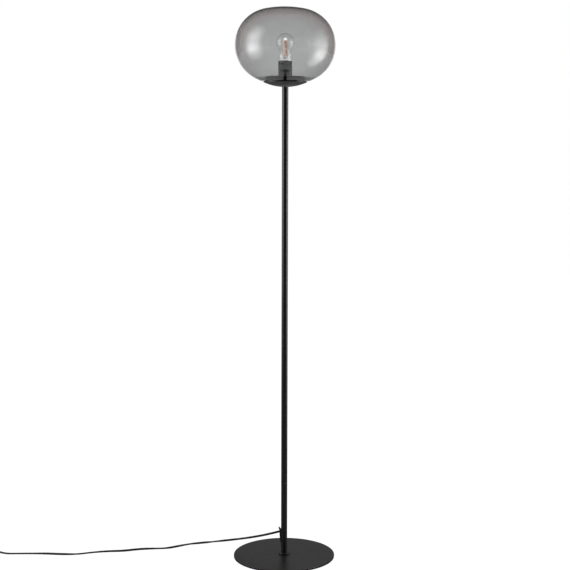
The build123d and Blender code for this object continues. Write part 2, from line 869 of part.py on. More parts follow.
with BuildPart() as switch_button:
    with BuildSketch(switch_plane.offset(ceiling - seat_gap - button_flange_height)):
        Circle(button_diameter / 2 + button_flange)
    extrude(amount=button_flange_height)
    with BuildSketch(switch_plane.offset(ceiling - seat_gap)):
        Circle(button_diameter / 2)
    extrude(amount=switch_height + button_proud - ceiling + seat_gap)
    fillet(switch_button.edges().group_by(Axis.Z)[-1], 1.5)
    with BuildSketch(switch_plane):
        Circle(button_diameter / 2 - button_wall)
    extrude(amount=switch_height + button_proud - button_wall, mode=Mode.SUBTRACT)
write("switch_button", switch_button)

# ---------------------------------------------------------------- plug

plug_plane = Plane.XY.move(Location((lead_x, plug_start_y + plug_sleeve_length, 0)))
pin_places = [(-pin_spacing / 2, plug_axis_height), (pin_spacing / 2, plug_axis_height)]
nose_y = plug_start_y + plug_sleeve_length + plug_length

with BuildPart() as plug_body:
    with BuildSketch(plug_plane):
        with BuildLine():
            Polyline(
                (-plug_tail_width / 2, 0),
                (-plug_width / 2, plug_length * 0.68),
                (-plug_nose_width / 2, plug_length),
                (plug_nose_width / 2, plug_length),
                (plug_width / 2, plug_length * 0.68),
                (plug_tail_width / 2, 0),
                close=True,
            )
        make_face()
    extrude(amount=plug_thickness)
    fillet(plug_body.edges().filter_by(Axis.Z), plug_edge_round)
    fillet(plug_body.edges().group_by(Axis.Z)[-1] + plug_body.edges().group_by(Axis.Z)[0], plug_edge_round / 2)
    with BuildSketch(Plane.XZ.offset(-plug_start_y)):
        with Locations((lead_x, plug_axis_height)):
            Circle(plug_sleeve_diameter / 2)
    extrude(amount=-plug_sleeve_length - plug_edge_round)
    with BuildSketch(Plane.XZ.offset(-plug_start_y)):
        with Locations((lead_x, plug_axis_height)):
            Circle(port_radius)
    extrude(amount=-4, mode=Mode.SUBTRACT)
    with BuildSketch(Plane.XZ.offset(-nose_y)):
        with Locations((lead_x, 0)):
            with Locations(*pin_places):
                Circle(pin_core_diameter / 2 + push_fit)
    extrude(amount=pin_root, mode=Mode.SUBTRACT)
write("plug_body", plug_body)

with BuildPart() as plug_pins:
    with BuildSketch(Plane.XZ.offset(-nose_y + pin_root)):
        with Locations((lead_x, 0)):
            with Locations(*pin_places):
                Circle(pin_core_diameter / 2)
    extrude(amount=-pin_root - pin_length)
    with BuildSketch(Plane.XZ.offset(-nose_y - pin_sleeve_length)):
        with Locations((lead_x, 0)):
            with Locations(*pin_places):
                Circle(pin_diameter / 2)
    extrude(amount=-(pin_length - pin_sleeve_length))
    fillet(plug_pins.edges().group_by(Axis.Y)[-1], 1.2)
write("plug_pins", plug_pins)

with BuildPart() as pin_sleeves:
    with BuildSketch(Plane.XZ.offset(-nose_y)):
        with Locations((lead_x, 0)):
            with Locations(*pin_places):
                Circle(pin_diameter / 2)
                Circle(pin_core_diameter / 2 + push_fit, mode=Mode.SUBTRACT)
    extrude(amount=-pin_sleeve_length)
write("pin_sleeves", pin_sleeves)
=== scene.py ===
"""Globe floor lamp: its glass, bulb, cord and finishes, laid out as a Blender add-on.

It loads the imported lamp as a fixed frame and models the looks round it, in metres. The lamp
stands on the floor at the origin, its cord leaves towards -X, and the camera looks along +Y.
"""

import math

import bpy
from mathutils import Euler, Matrix, Vector


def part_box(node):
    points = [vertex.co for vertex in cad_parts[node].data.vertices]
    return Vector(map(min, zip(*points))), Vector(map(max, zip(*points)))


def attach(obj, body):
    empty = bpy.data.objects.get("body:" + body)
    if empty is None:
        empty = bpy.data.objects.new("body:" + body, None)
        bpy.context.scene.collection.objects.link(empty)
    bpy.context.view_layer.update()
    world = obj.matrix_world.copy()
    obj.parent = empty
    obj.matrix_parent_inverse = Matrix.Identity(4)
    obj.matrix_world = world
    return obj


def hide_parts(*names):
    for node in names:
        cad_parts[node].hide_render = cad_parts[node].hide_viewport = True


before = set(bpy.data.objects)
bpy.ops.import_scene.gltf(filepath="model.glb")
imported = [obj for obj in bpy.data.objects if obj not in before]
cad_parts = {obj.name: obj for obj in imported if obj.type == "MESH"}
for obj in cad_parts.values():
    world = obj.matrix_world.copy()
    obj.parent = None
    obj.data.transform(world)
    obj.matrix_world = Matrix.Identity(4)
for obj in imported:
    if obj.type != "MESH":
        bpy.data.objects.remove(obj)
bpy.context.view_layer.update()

bl_info = {
    "name": "Globe Floor Lamp",
    "version": (1, 0, 0),
    "blender": (4, 5, 0),
    "location": "View3D > Sidebar > Lamp",
    "description": "Smoked glass, bulb, pole, base, cord and stage of a globe floor lamp",
    "category": "Add Mesh",
}

AXIS_UP = Vector((0, 0, 1))
WHITE = (1, 1, 1)

# ------------------------------------------------------------------ sizes and colours to change


class GlassSettings(bpy.types.PropertyGroup):
    tint: bpy.props.FloatVectorProperty(
        name="Tint",
        description="Colour left after one wall",
        subtype="COLOR",
        size=3,
        default=(0.965, 0.965, 0.965),
    )
    smoke: bpy.props.FloatProperty(
        name="Smoke",
        description="How fast the wall darkens light, per metre",
        default=141.0,
        min=0,
    )
    edge: bpy.props.FloatVectorProperty(
        name="Edge",
        description="Warm tint where the wall is seen edge on",
        subtype="COLOR",
        size=3,
        default=(1.0, 0.895, 0.875),
    )
    # painted shade: the glass is darkened in a band up to this height above the seat
    foot: bpy.props.FloatProperty(
        name="Foot",
        description="Height of the darker foot above the seat",
        default=0.0081,
        unit="LENGTH",
    )
    # share of light left by the painted shade at the glass's foot
    painted_foot_shade: bpy.props.FloatProperty(
        name="Foot shade",
        description="Light left at the foot",
        default=0.42,
        min=0,
        max=1,
        subtype="FACTOR",
    )
    # share of light left by the painted shade along the crown's edge
    painted_crown_shade: bpy.props.FloatProperty(
        name="Crown shade",
        description="Light left at the crown's edge",
        default=0.68,
        min=0,
        max=1,
        subtype="FACTOR",
    )
    wall: bpy.props.FloatProperty(
        name="Wall", description="Thickness of the glass", default=0.003, unit="LENGTH"
    )
    steps: bpy.props.IntProperty(
        name="Steps", description="Faces round the globe", default=160, min=24
    )


class BulbSettings(bpy.types.PropertyGroup):
    filament_colour: bpy.props.FloatVectorProperty(
        name="Filament",
        description="Colour of the filament coating",
        subtype="COLOR",
        size=3,
        default=(0.84, 0.59, 0.34),
    )
    back_colour: bpy.props.FloatVectorProperty(
        name="Filament back",
        description="Colour of the filaments' backs",
        subtype="COLOR",
        size=3,
        default=(0.50, 0.35, 0.32),
    )
    wall: bpy.props.FloatProperty(
        name="Wall", description="Thickness of the bulb's glass", default=0.0005, unit="LENGTH"
    )


class MetalSettings(bpy.types.PropertyGroup):
    lacquer: bpy.props.FloatVectorProperty(
        name="Lacquer",
        description="Satin black of the pole and dish",
        subtype="COLOR",
        size=3,
        default=(0.005, 0.005, 0.0053),
    )
    powder: bpy.props.FloatVectorProperty(
        name="Powder coat",
        description="Dark grey of the base",
        subtype="COLOR",
        size=3,
        default=(0.006, 0.006, 0.006),
    )


class CordSettings(bpy.types.PropertyGroup):
    width: bpy.props.FloatProperty(
        name="Width", description="Wide side of the flat cord", default=0.0056, unit="LENGTH"
    )
    thickness: bpy.props.FloatProperty(
        name="Thickness", description="Thin side of the flat cord", default=0.0046, unit="LENGTH"
    )
    sheath: bpy.props.FloatVectorProperty(
        name="Sheath",
        description="Colour of the cord",
        subtype="COLOR",
        size=3,
        default=(0.006, 0.006, 0.006),
    )


class CameraSettings(bpy.types.PropertyGroup):
    distance: bpy.props.FloatProperty(
        name="Distance", description="From the pole to the camera", default=3.098, unit="LENGTH"
    )
    aside: bpy.props.FloatProperty(
        name="Aside",
        description="How far the camera stands to the pole's right",
        default=0.067,
        unit="LENGTH",
    )
    height: bpy.props.FloatProperty(
        name="Height", description="Of the camera above the floor", default=1.060, unit="LENGTH"
    )
    pitch: bpy.props.FloatProperty(
        name="Pitch",
        description="How far the camera looks down",
        default=math.radians(6.484),
        subtype="ANGLE",
    )
    roll: bpy.props.FloatProperty(
        name="Roll",
        description="Turn about the view's own axis",
        default=math.radians(0.281),
        subtype="ANGLE",
    )
    shift: bpy.props.FloatProperty(
        name="Shift",
        description="Picture's centre to the left of the view's axis, in picture widths",
        default=-0.0459,
    )
    lens: bpy.props.FloatProperty(
        name="Lens", description="Focal length in millimetres", default=77.79, min=1
    )


# ------------------------------------------------------------------ selection and mesh helpers

# points nearer than this are one point, and so are those where a turned piece closes on itself
MERGE_POINTS = 1e-6
MERGE_SEAM = 2e-6


def deselect():
    """Nothing stays selected: the loaded nodes are selected at first."""
    if bpy.context.object and bpy.context.object.mode != "OBJECT":
        bpy.ops.object.mode_set(mode="OBJECT")
    bpy.ops.object.select_all(action="DESELECT")


def arc(centre, radius, start, end, count):
    """Points of an arc in the lathe's plane: (distance from the axis, height)."""
    angles = [start + (end - start) * k / count for k in range(count + 1)]
    return [(centre[0] + radius * math.cos(a), centre[1] + radius * math.sin(a)) for a in angles]


def turned(name, outline, steps):
    """A piece turned on the lathe: a closed outline extruded point by point, then spun.

    The outline starts from a small plane that is merged to one point.
    """
    deselect()
    first = outline[0]
    bpy.ops.mesh.primitive_plane_add(size=0.001, location=(first[0], 0, first[1]))
    piece = bpy.context.object
    piece.name = piece.data.name = name
    bpy.ops.object.mode_set(mode="EDIT")
    bpy.ops.mesh.select_all(action="SELECT")
    bpy.ops.mesh.merge(type="CENTER")
    for before, after in zip(outline, [*outline[1:], first]):
        step = (after[0] - before[0], 0, after[1] - before[1])
        bpy.ops.mesh.extrude_region_move(TRANSFORM_OT_translate={"value": step})
    bpy.ops.mesh.select_all(action="SELECT")
    bpy.ops.mesh.remove_doubles(threshold=MERGE_POINTS)
    bpy.ops.mesh.spin(steps=steps, angle=2 * math.pi, center=(0, 0, 0), axis=AXIS_UP)
    bpy.ops.mesh.select_all(action="SELECT")
    bpy.ops.mesh.remove_doubles(threshold=MERGE_SEAM)
    bpy.ops.mesh.normals_make_consistent(inside=False)
    bpy.ops.object.mode_set(mode="OBJECT")
    settle(piece)
    bpy.ops.object.shade_smooth_by_angle(angle=math.radians(30))
    return piece


def settle(piece):
    """The piece's object goes to the origin, unturned and unscaled, with its place in its mesh."""
    deselect()
    piece.select_set(True)
    bpy.context.view_layer.objects.active = piece
    bpy.ops.object.transform_apply(location=True, rotation=True, scale=True)


def dress(piece, material, body, stands_for):
    """Gives a piece its material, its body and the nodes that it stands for."""
    piece.data.materials.clear()
    piece.data.materials.append(material)
    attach(piece, body)
    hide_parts(*stands_for)


def paint_nodes(material, *names):
    """A better material for nodes whose shape stays."""
    for name in names:
        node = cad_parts[name]
        node.data.materials.clear()
        node.data.materials.append(material)


# ------------------------------------------------------------------ node trees and finishes


class Nodes:
    """Short ways to build a node tree. A value is a number or another node's output."""

    def __init__(self, tree):
        self.tree = tree

    def node(self, kind, **values):
        made = self.tree.nodes.new(kind)
        for key, value in values.items():
            if key in made.inputs:
                made.inputs[key].default_value = value
            else:
                setattr(made, key, value)
        return made

    def link(self, source, target):
        self.tree.links.new(source, target)

    def feed(self, value, target):
        if isinstance(value, bpy.types.NodeSocket):
            self.link(value, target)
        else:
            target.default_value = value

    def split(self, vector):
        """X, Y and Z of a vector."""
        made = self.node("ShaderNodeSeparateXYZ")
        self.link(vector, made.inputs["Vector"])
        return made.outputs

    def maths(self, operation, *values):
        made = self.node("ShaderNodeMath", operation=operation)
        for value, target in zip(values, made.inputs):
            self.feed(value, target)
        return made.outputs["Value"]

    def times(self, first, second):
        return self.maths("MULTIPLY", first, second)

    def rest(self, share):
        """What is left of 1."""
        return self.maths("SUBTRACT", 1, share)

    def ease(self, value, low, high, ends=(0, 1), kind="SMOOTHSTEP"):
        """Goes from one end to the other while the value goes from low to high."""
        made = self.node("ShaderNodeMapRange", interpolation_type=kind)
        for name, number in zip(("From Min", "From Max", "To Min", "To Max"), (low, high, *ends)):
            made.inputs[name].default_value = number
        self.link(value, made.inputs["Value"])
        return made.outputs["Result"]

    def mix(self, factor, first, second, kind="FLOAT"):
        made = self.node("ShaderNodeMix", data_type=kind)
        for value, name in ((factor, "Factor"), (first, "A"), (second, "B")):
            self.feed(value, made.inputs[name])
        return made.outputs["Result"]

    def ramp(self, value, stops):
        """Brightness along a value, from (place, brightness) stops."""
        made = self.node("ShaderNodeValToRGB")
        marks = made.color_ramp.elements
        for k, (place, share) in enumerate(stops):
            mark = marks[k] if k < 2 else marks.new(place)
            mark.position = place
            mark.color = (share, share, share, 1)
        self.link(value, made.inputs["Fac"])
        return made.outputs["Color"]


class Finish(Nodes):
    """A node material with one Principled shader, and short ways to add detail to it."""

    def __init__(self, name, colour, roughness, metallic=0.0):
        self.material = bpy.data.materials.new(name)
        self.material.use_nodes = True
        super().__init__(self.material.node_tree)
        self.shader = self.tree.nodes["Principled BSDF"]
        self.output = self.tree.nodes["Material Output"]
        self.set("Base Color", (*colour, 1))
        self.set("Roughness", roughness)
        self.set("Metallic", metallic)

    def set(self, socket, value):
        self.feed(value, self.shader.inputs[socket])

    def place(self):
        """Coordinates in the lamp's own frame."""
        return self.node("ShaderNodeTexCoord").outputs["Object"]

    def edge_on(self):
        """0 where the surface is seen face on, 1 where it is seen edge on."""
        return self.node("ShaderNodeLayerWeight", Blend=0.5).outputs["Facing"]

    def noise(self, size, detail=3.0):
        """Noise whose blobs are about that size in metres."""
        texture = self.node("ShaderNodeTexNoise", Scale=1 / size, Detail=detail)
        self.link(self.place(), texture.inputs["Vector"])
        return texture.outputs["Fac"]

    def spread(self, value, low, high):
        """Noise values from 0.3 to 0.7 spread over a range."""
        return self.ease(value, 0.3, 0.7, ends=(low, high), kind="LINEAR")

    def colours(self, factor, first, second):
        """One colour that runs into another; each is a colour or another node's output."""
        whole = [c if isinstance(c, bpy.types.NodeSocket) else (*c, 1) for c in (first, second)]
        return self.mix(factor, *whole, kind="RGBA")

    def uneven_gloss(self, size, low, high):
        self.set("Roughness", self.spread(self.noise(size), low, high))

    def uneven_colour(self, size, low, high):
        self.set("Base Color", self.colours(self.spread(self.noise(size), 0, 1), low, high))

    def grain(self, size, height, detail=2.0):
        """Fine surface relief: grain of that size and height in metres."""
        bump = self.node("ShaderNodeBump", Strength=1.0, Distance=height)
        self.link(self.noise(size, detail), bump.inputs["Height"])
        self.link(bump.outputs["Normal"], self.shader.inputs["Normal"])


def shade(colour, factor):
    return tuple(c * factor for c in colour)


def satin_lacquer(name, colour):
    made = Finish(name, colour, roughness=0.32)
    made.uneven_colour(size=0.02, low=shade(colour, 0.9), high=shade(colour, 1.12))
    made.uneven_gloss(size=0.006, low=0.29, high=0.36)
    made.grain(size=0.0009, height=0.000006)
    return made.material


def powder_coat(name, colour):
    made = Finish(name, colour, roughness=0.35)
    made.uneven_colour(size=0.003, low=shade(colour, 0.92), high=shade(colour, 1.08))
    made.uneven_gloss(size=0.01, low=0.32, high=0.38)
    made.grain(size=0.0008, height=0.00002, detail=4)
    return made.material


def moulded_plastic(name, colour, roughness):
    made = Finish(name, colour, roughness)
    made.uneven_colour(size=0.008, low=shade(colour, 0.9), high=shade(colour, 1.15))
    made.uneven_gloss(size=0.003, low=roughness - 0.04, high=roughness + 0.05)
    made.grain(size=0.0006, height=0.000008)
    return made.material


def bare_metal(name, colour, roughness):
    made = Finish(name, colour, roughness, metallic=1.0)
    made.uneven_gloss(size=0.002, low=roughness - 0.06, high=roughness + 0.08)
    made.grain(size=0.0005, height=0.000004)
    return made.material


def clear_glass(name, colour=WHITE):
    made = Finish(name, colour, roughness=0.0)
    made.set("Transmission Weight", 1.0)
    made.set("IOR", 1.5)
    return made


# ------------------------------------------------------------------ stage: camera, floor and light


class LAMP_OT_camera(bpy.types.Operator):
    """Sets the camera where the photograph was taken from"""

    bl_idname = "lamp.camera"
    bl_label = "Camera"

    def execute(self, context):
        settings = context.scene.lamp_camera
        deselect()
        place = (settings.aside, -settings.distance, settings.height)
        bpy.ops.object.camera_add(location=place)
        camera = context.object
        camera.name = "photo_camera"
        camera.rotation_mode = "QUATERNION"
        level = Euler((math.pi / 2 - settings.pitch, 0, 0)).to_matrix()
        roll = Matrix.Rotation(settings.roll, 3, "Z")
        camera.rotation_quaternion = (level @ roll).to_quaternion()
        camera.data.sensor_width = 36
        camera.data.lens = settings.lens
        camera.data.shift_x = settings.shift
        camera.data.clip_end = 100
        context.scene.camera = camera
        return {"FINISHED"}


FLOOR_SIZE = 14
PAPER = 0.8
PAPER_IN_SATIN = 0.2  # the floor's colour as satin black reflects it
FLOOR_GLOW = 1.09
FLOOR_GLOW_SHARE = 0.92
FLOOR_BEHIND = (0.2, 1.2)  # the floor turns white here as seen through the glass

# The studio's white backdrop stands behind the lamp and ends below a dark ceiling. Its edge is
# a direction's Y, where 1 is straight behind the lamp, and its top is a direction's Z.
GLOSS_EDGE = (0.80, 0.95)
GLOSS_TOP = (0.10, 0.24)
GLOSS_DARK = 0.035
# Seen through the glass it is wider and taller, and stands in front of the lamp as well.
THROUGH_EDGE = (0.60, 0.74)
THROUGH_TOP = (0.30, 0.42)
THROUGH_DARK = 0.47
ROOM_GLOW = 0.42  # on matt surfaces
INSIDE_GLOW = 7.6  # on matt surfaces inside the glass
# what satin surfaces reflect, from in front of the lamp round to behind it
SATIN_ROUND = ((0.0, 0.03), (0.3, 0.05), (0.42, 0.9), (0.58, 0.9), (0.75, 0.26), (1.0, 0.26))

# brightness from a softbox's foot to its top
LEFT_FALL = (
    (0.0, 0.05), (0.12, 0.25), (0.22, 0.53), (0.33, 1.0), (0.39, 0.86),
    (0.47, 0.53), (0.61, 0.49), (0.73, 0.28), (0.87, 0.17), (1.0, 0.03),
)
RIGHT_FALL = (
    (0.0, 0.05), (0.08, 0.18), (0.19, 0.38), (0.28, 0.45), (0.35, 0.68), (0.46, 1.0), (0.51, 0.98),
    (0.6, 0.69), (0.68, 0.6), (0.76, 0.365), (0.85, 0.18), (0.95, 0.07), (1.0, 0.0),
)
SOFTBOXES = (
    {
        "name": "left_softbox",
        "place": (-1.259, -0.326, 1.50),
        "size": (2.9, 2.5),
        "reach": 0.84,
        "core": 6.3,
        "skirt": 0.5,
        "fall": LEFT_FALL,
    },
    {
        "name": "right_softbox",
        "place": (0.8997, 0.0, 0.97),
        "size": (1.06, 1.9),
        "reach": 0.51,
        "core": 6.4,
        "skirt": 0.0,
        "fall": RIGHT_FALL,
    },
)
SKIRT_EDGE = (0.3, 0.5)  # where a skirt fades, in widths of its softbox from the middle


class LAMP_OT_stage(bpy.types.Operator):
    """Adds the pale floor, the studio's surroundings and two softboxes"""

    bl_idname = "lamp.stage"
    bl_label = "Stage"

    def execute(self, context):
        self.floor(context)
        self.surroundings(context)
        for softbox in SOFTBOXES:
            self.softbox(context, **softbox)
        return {"FINISHED"}

    def floor(self, context):
        """Pale paper that shows white in the picture and behind the glass."""
        deselect()
        bpy.ops.mesh.primitive_plane_add(size=FLOOR_SIZE, location=(0, 0, 0))
        floor = context.object
        floor.name = "studio_floor"
        made = Finish("floor_paper", (PAPER, PAPER, PAPER), roughness=0.9)
        path = made.node("ShaderNodeLightPath").outputs
        axes = made.split(made.node("ShaderNodeNewGeometry").outputs["Position"])
        behind = made.times(made.ease(axes["Y"], *FLOOR_BEHIND), path["Is Transmission Ray"])
        white = made.times(made.maths("MAXIMUM", path["Is Camera Ray"], behind), FLOOR_GLOW_SHARE)
        satin = made.maths("SUBTRACT", path["Is Glossy Ray"], path["Is Singular Ray"])
        made.set("Base Color", made.maths("MULTIPLY_ADD", satin, PAPER_IN_SATIN - PAPER, PAPER))
        glow = made.node("ShaderNodeEmission", Color=(*WHITE, 1), Strength=FLOOR_GLOW)
        mix = made.node("ShaderNodeMixShader")
        shaders = (white, made.shader.outputs["BSDF"], glow.outputs["Emission"])
        for source, target in zip(shaders, mix.inputs):
            made.link(source, target)
        made.link(mix.outputs["Shader"], made.output.inputs["Surface"])
        floor.data.materials.append(made.material)

    def surroundings(self, context):
        """White for the camera, the studio for glass and satin, and an even glow for the rest."""
        world = bpy.data.worlds.new("studio")
        context.scene.world = world
        world.use_nodes = True
        made = Nodes(world.node_tree)
        path = made.node("ShaderNodeLightPath").outputs
        axes = made.split(made.node("ShaderNodeTexCoord").outputs["Generated"])
        backdrop = made.ease(axes["Y"], *GLOSS_EDGE)
        backdrop = made.times(backdrop, made.rest(made.ease(axes["Z"], *GLOSS_TOP)))
        gloss = made.mix(backdrop, GLOSS_DARK, 1)
        backdrop = made.ease(made.maths("ABSOLUTE", axes["Y"]), *THROUGH_EDGE)
        backdrop = made.times(backdrop, made.rest(made.ease(axes["Z"], *THROUGH_TOP)))
        through = made.mix(backdrop, THROUGH_DARK, 1)
        inside = made.maths("GREATER_THAN", path["Diffuse Depth"], 0.5)
        through = made.mix(inside, through, INSIDE_GLOW)
        satin = made.ramp(made.maths("MULTIPLY_ADD", axes["Y"], 0.5, 0.5), SATIN_ROUND)
        gloss = made.mix(path["Is Singular Ray"], satin, gloss)
        level = made.mix(path["Is Glossy Ray"], ROOM_GLOW, gloss)
        level = made.mix(path["Is Transmission Ray"], level, through)
        level = made.mix(path["Is Camera Ray"], level, 1)
        light = world.node_tree.nodes["Background"]
        light.inputs["Color"].default_value = (*WHITE, 1)
        made.link(level, light.inputs["Strength"])

    def softbox(self, context, name, place, size, reach, core, skirt, fall):
        """A soft light turned to the pole: a core that fades out at its reach, and a skirt."""
        lamp = bpy.data.lights.new(name, "AREA")
        lamp.shape = "RECTANGLE"
        lamp.size, lamp.size_y = size
        lamp.energy = math.pi * size[0] * size[1]  # a brightness of 1, times the nodes' strength
        lamp.use_nodes = True
        made = Nodes(lamp.node_tree)
        axes = made.split(made.node("ShaderNodeNewGeometry").outputs["Parametric"])
        aside = made.maths("ABSOLUTE", made.maths("SUBTRACT", axes["X"], 0.5))
        middle = made.ease(aside, 0, reach / size[0], ends=(core, 0), kind="SMOOTHERSTEP")
        outer = made.times(made.rest(made.ease(aside, *SKIRT_EDGE)), skirt)
        strength = made.times(made.maths("ADD", middle, outer), made.ramp(axes["Y"], fall))
        made.link(strength, lamp.node_tree.nodes["Emission"].inputs["Strength"])
        softbox = bpy.data.objects.new(name, lamp)
        context.scene.collection.objects.link(softbox)
        softbox.location = place
        aim = Vector((0, 0, place[2])) - Vector(place)
        softbox.rotation_mode = "QUATERNION"
        softbox.rotation_quaternion = aim.to_track_quat("-Z", "Y")
        softbox.visible_camera = False


# ------------------------------------------------------------------ glass globe

GLASS_RADIUS = 0.125
SHOULDER_RADIUS = 0.090
UPPER_HEIGHT = 0.0935
LOWER_HEIGHT = 0.0992
LOWER_POINTS, SHOULDER_POINTS, UPPER_POINTS = 14, 48, 20
RIM_ANGLES = (0.25, 0.7)
RIM_ROUND = 0.25  # how high the rim is rounded, in halves of the wall

SMOKE_COLOUR = (0.0, 0.01, 0.015)
# how far edge on the glass is seen where its warm tint and the crown's painted shade set in
WARM_FACING = (0.2, 0.8)
CROWN_FACING = (0.62, 0.95)
# and at what heights from the equator
WARM_HEIGHT = (-0.055, -0.01)
CROWN_HEIGHT = (0.045, 0.085)
# blur at the top of the painted shade at the glass's foot
FOOT_BLUR = 0.0012


def crown(height):
    """Radius of a crown that meets the shoulder smoothly, and the angle where it does."""
    squares = GLASS_RADIUS**2 + height**2 - 2 * GLASS_RADIUS * SHOULDER_RADIUS
    radius = squares / (2 * (height - SHOULDER_RADIUS))
    return radius, math.atan2(radius - height, GLASS_RADIUS - SHOULDER_RADIUS)


class LAMP_OT_globe(bpy.types.Operator):
    """Models the flattened globe of smoked glass"""

    bl_idname = "lamp.globe"
    bl_label = "Glass globe"

    def execute(self, context):
        settings = context.scene.lamp_glass
        low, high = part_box("glass_globe")
        seat = low.z
        equator = high.z - UPPER_HEIGHT
        upper, upper_blend = crown(UPPER_HEIGHT)
        lower, lower_blend = crown(LOWER_HEIGHT)
        upper_centre = (0, high.z - upper)
        lower_centre = (0, equator - LOWER_HEIGHT + lower)
        shoulder_centre = (GLASS_RADIUS - SHOULDER_RADIUS, equator)

        def wall(inset):
            start = -math.asin((lower_centre[1] - seat) / (lower - inset))
            line = arc(lower_centre, lower - inset, start, -lower_blend, LOWER_POINTS)
            shoulder = SHOULDER_RADIUS - inset
            line += arc(shoulder_centre, shoulder, -lower_blend, upper_blend, SHOULDER_POINTS)[1:]
            line += arc(upper_centre, upper - inset, upper_blend, math.pi / 2, UPPER_POINTS)[1:]
            line[-1] = (0, line[-1][1])
            return line

        outside, inside = wall(0), wall(settings.wall)
        middle = (outside[0][0] + inside[0][0]) / 2
        half = (outside[0][0] - inside[0][0]) / 2

        def rim_point(side, angle):
            """The ground rim's edges are rounded by the flame."""
            height = seat + RIM_ROUND * half * (1 - math.sin(angle))
            return middle + side * half * math.cos(angle), height

        rim = [rim_point(-1, angle) for angle in RIM_ANGLES]
        rim += [rim_point(1, angle) for angle in reversed(RIM_ANGLES)]
        globe = turned("smoked_globe", rim + outside[1:] + inside[:0:-1], settings.steps)
        made = clear_glass("smoked_glass", settings.tint)
        made.set("Base Color", self.tint(made, settings, seat, equator))
        smoke = made.node("ShaderNodeVolumeAbsorption", Color=(*SMOKE_COLOUR, 1))
        smoke.inputs["Density"].default_value = settings.smoke
        made.link(smoke.outputs["Volume"], made.output.inputs["Volume"])
        dress(globe, made.material, "glass", ["glass_globe"])
        return {"FINISHED"}

    def tint(self, made, settings, seat, equator):
        """Warm where the glass is seen edge on, with painted shade in a band at its foot and along
        the crown's edge.
        """
        height = made.split(made.place())["Z"]
        facing = made.edge_on()
        warm = made.ease(height, equator + WARM_HEIGHT[0], equator + WARM_HEIGHT[1])
        warm = made.times(made.ease(facing, *WARM_FACING), warm)
        sides = made.colours(warm, settings.tint, settings.edge)
        # painted shade: darker in a band at the foot round the dish, and along the crown's edge
        foot = seat + settings.foot
        above = made.ease(height, foot - FOOT_BLUR, foot + FOOT_BLUR)
        crest = made.ease(height, equator + CROWN_HEIGHT[0], equator + CROWN_HEIGHT[1])
        crest = made.times(made.ease(facing, *CROWN_FACING), crest)
        shadow = made.mix(above, settings.painted_foot_shade, 1.0)
        shadow = made.times(shadow, made.mix(crest, 1.0, settings.painted_crown_shade))
        shaded = made.node("ShaderNodeMix", data_type="RGBA", blend_type="MULTIPLY", Factor=1.0)
        made.link(sides, shaded.inputs["A"])
        made.link(shadow, shaded.inputs["B"])
        return shaded.outputs["Result"]


# ------------------------------------------------------------------ bulb

NECK_RADIUS = 0.0129
NECK_BLEND = 0.020
NECK_POINTS, HEAD_POINTS = 12, 40
BULB_STEPS = 96

# the neck's milky white, by height above the cap: haze at the flare, and a painted highlight where
# the neck is seen edge on
MILK_AND_HIGHLIGHT = (0.50, 0.51, 0.50)
HAZE_HIGHLIGHT_START = 0.0025
HAZE_HIGHLIGHT_NARROWS = 33  # how much more edge on, per metre, the glass has to be seen further up
HAZE_HIGHLIGHT_BLUR = 0.12
HAZE_HIGHLIGHT_END = (0.013, 0.017)
HAZE_HIGHLIGHT_MOST = 0.85

BARE_COAT = (1.0, 0.95, 0.9)
JOINT_PLACE = 0.47  # share of the filaments' length
JOINT_EDGE = (0.0008, 0.0016)
BACKS_FROM = (-0.001, 0.001)  # the sticks at the axis's right show their backs


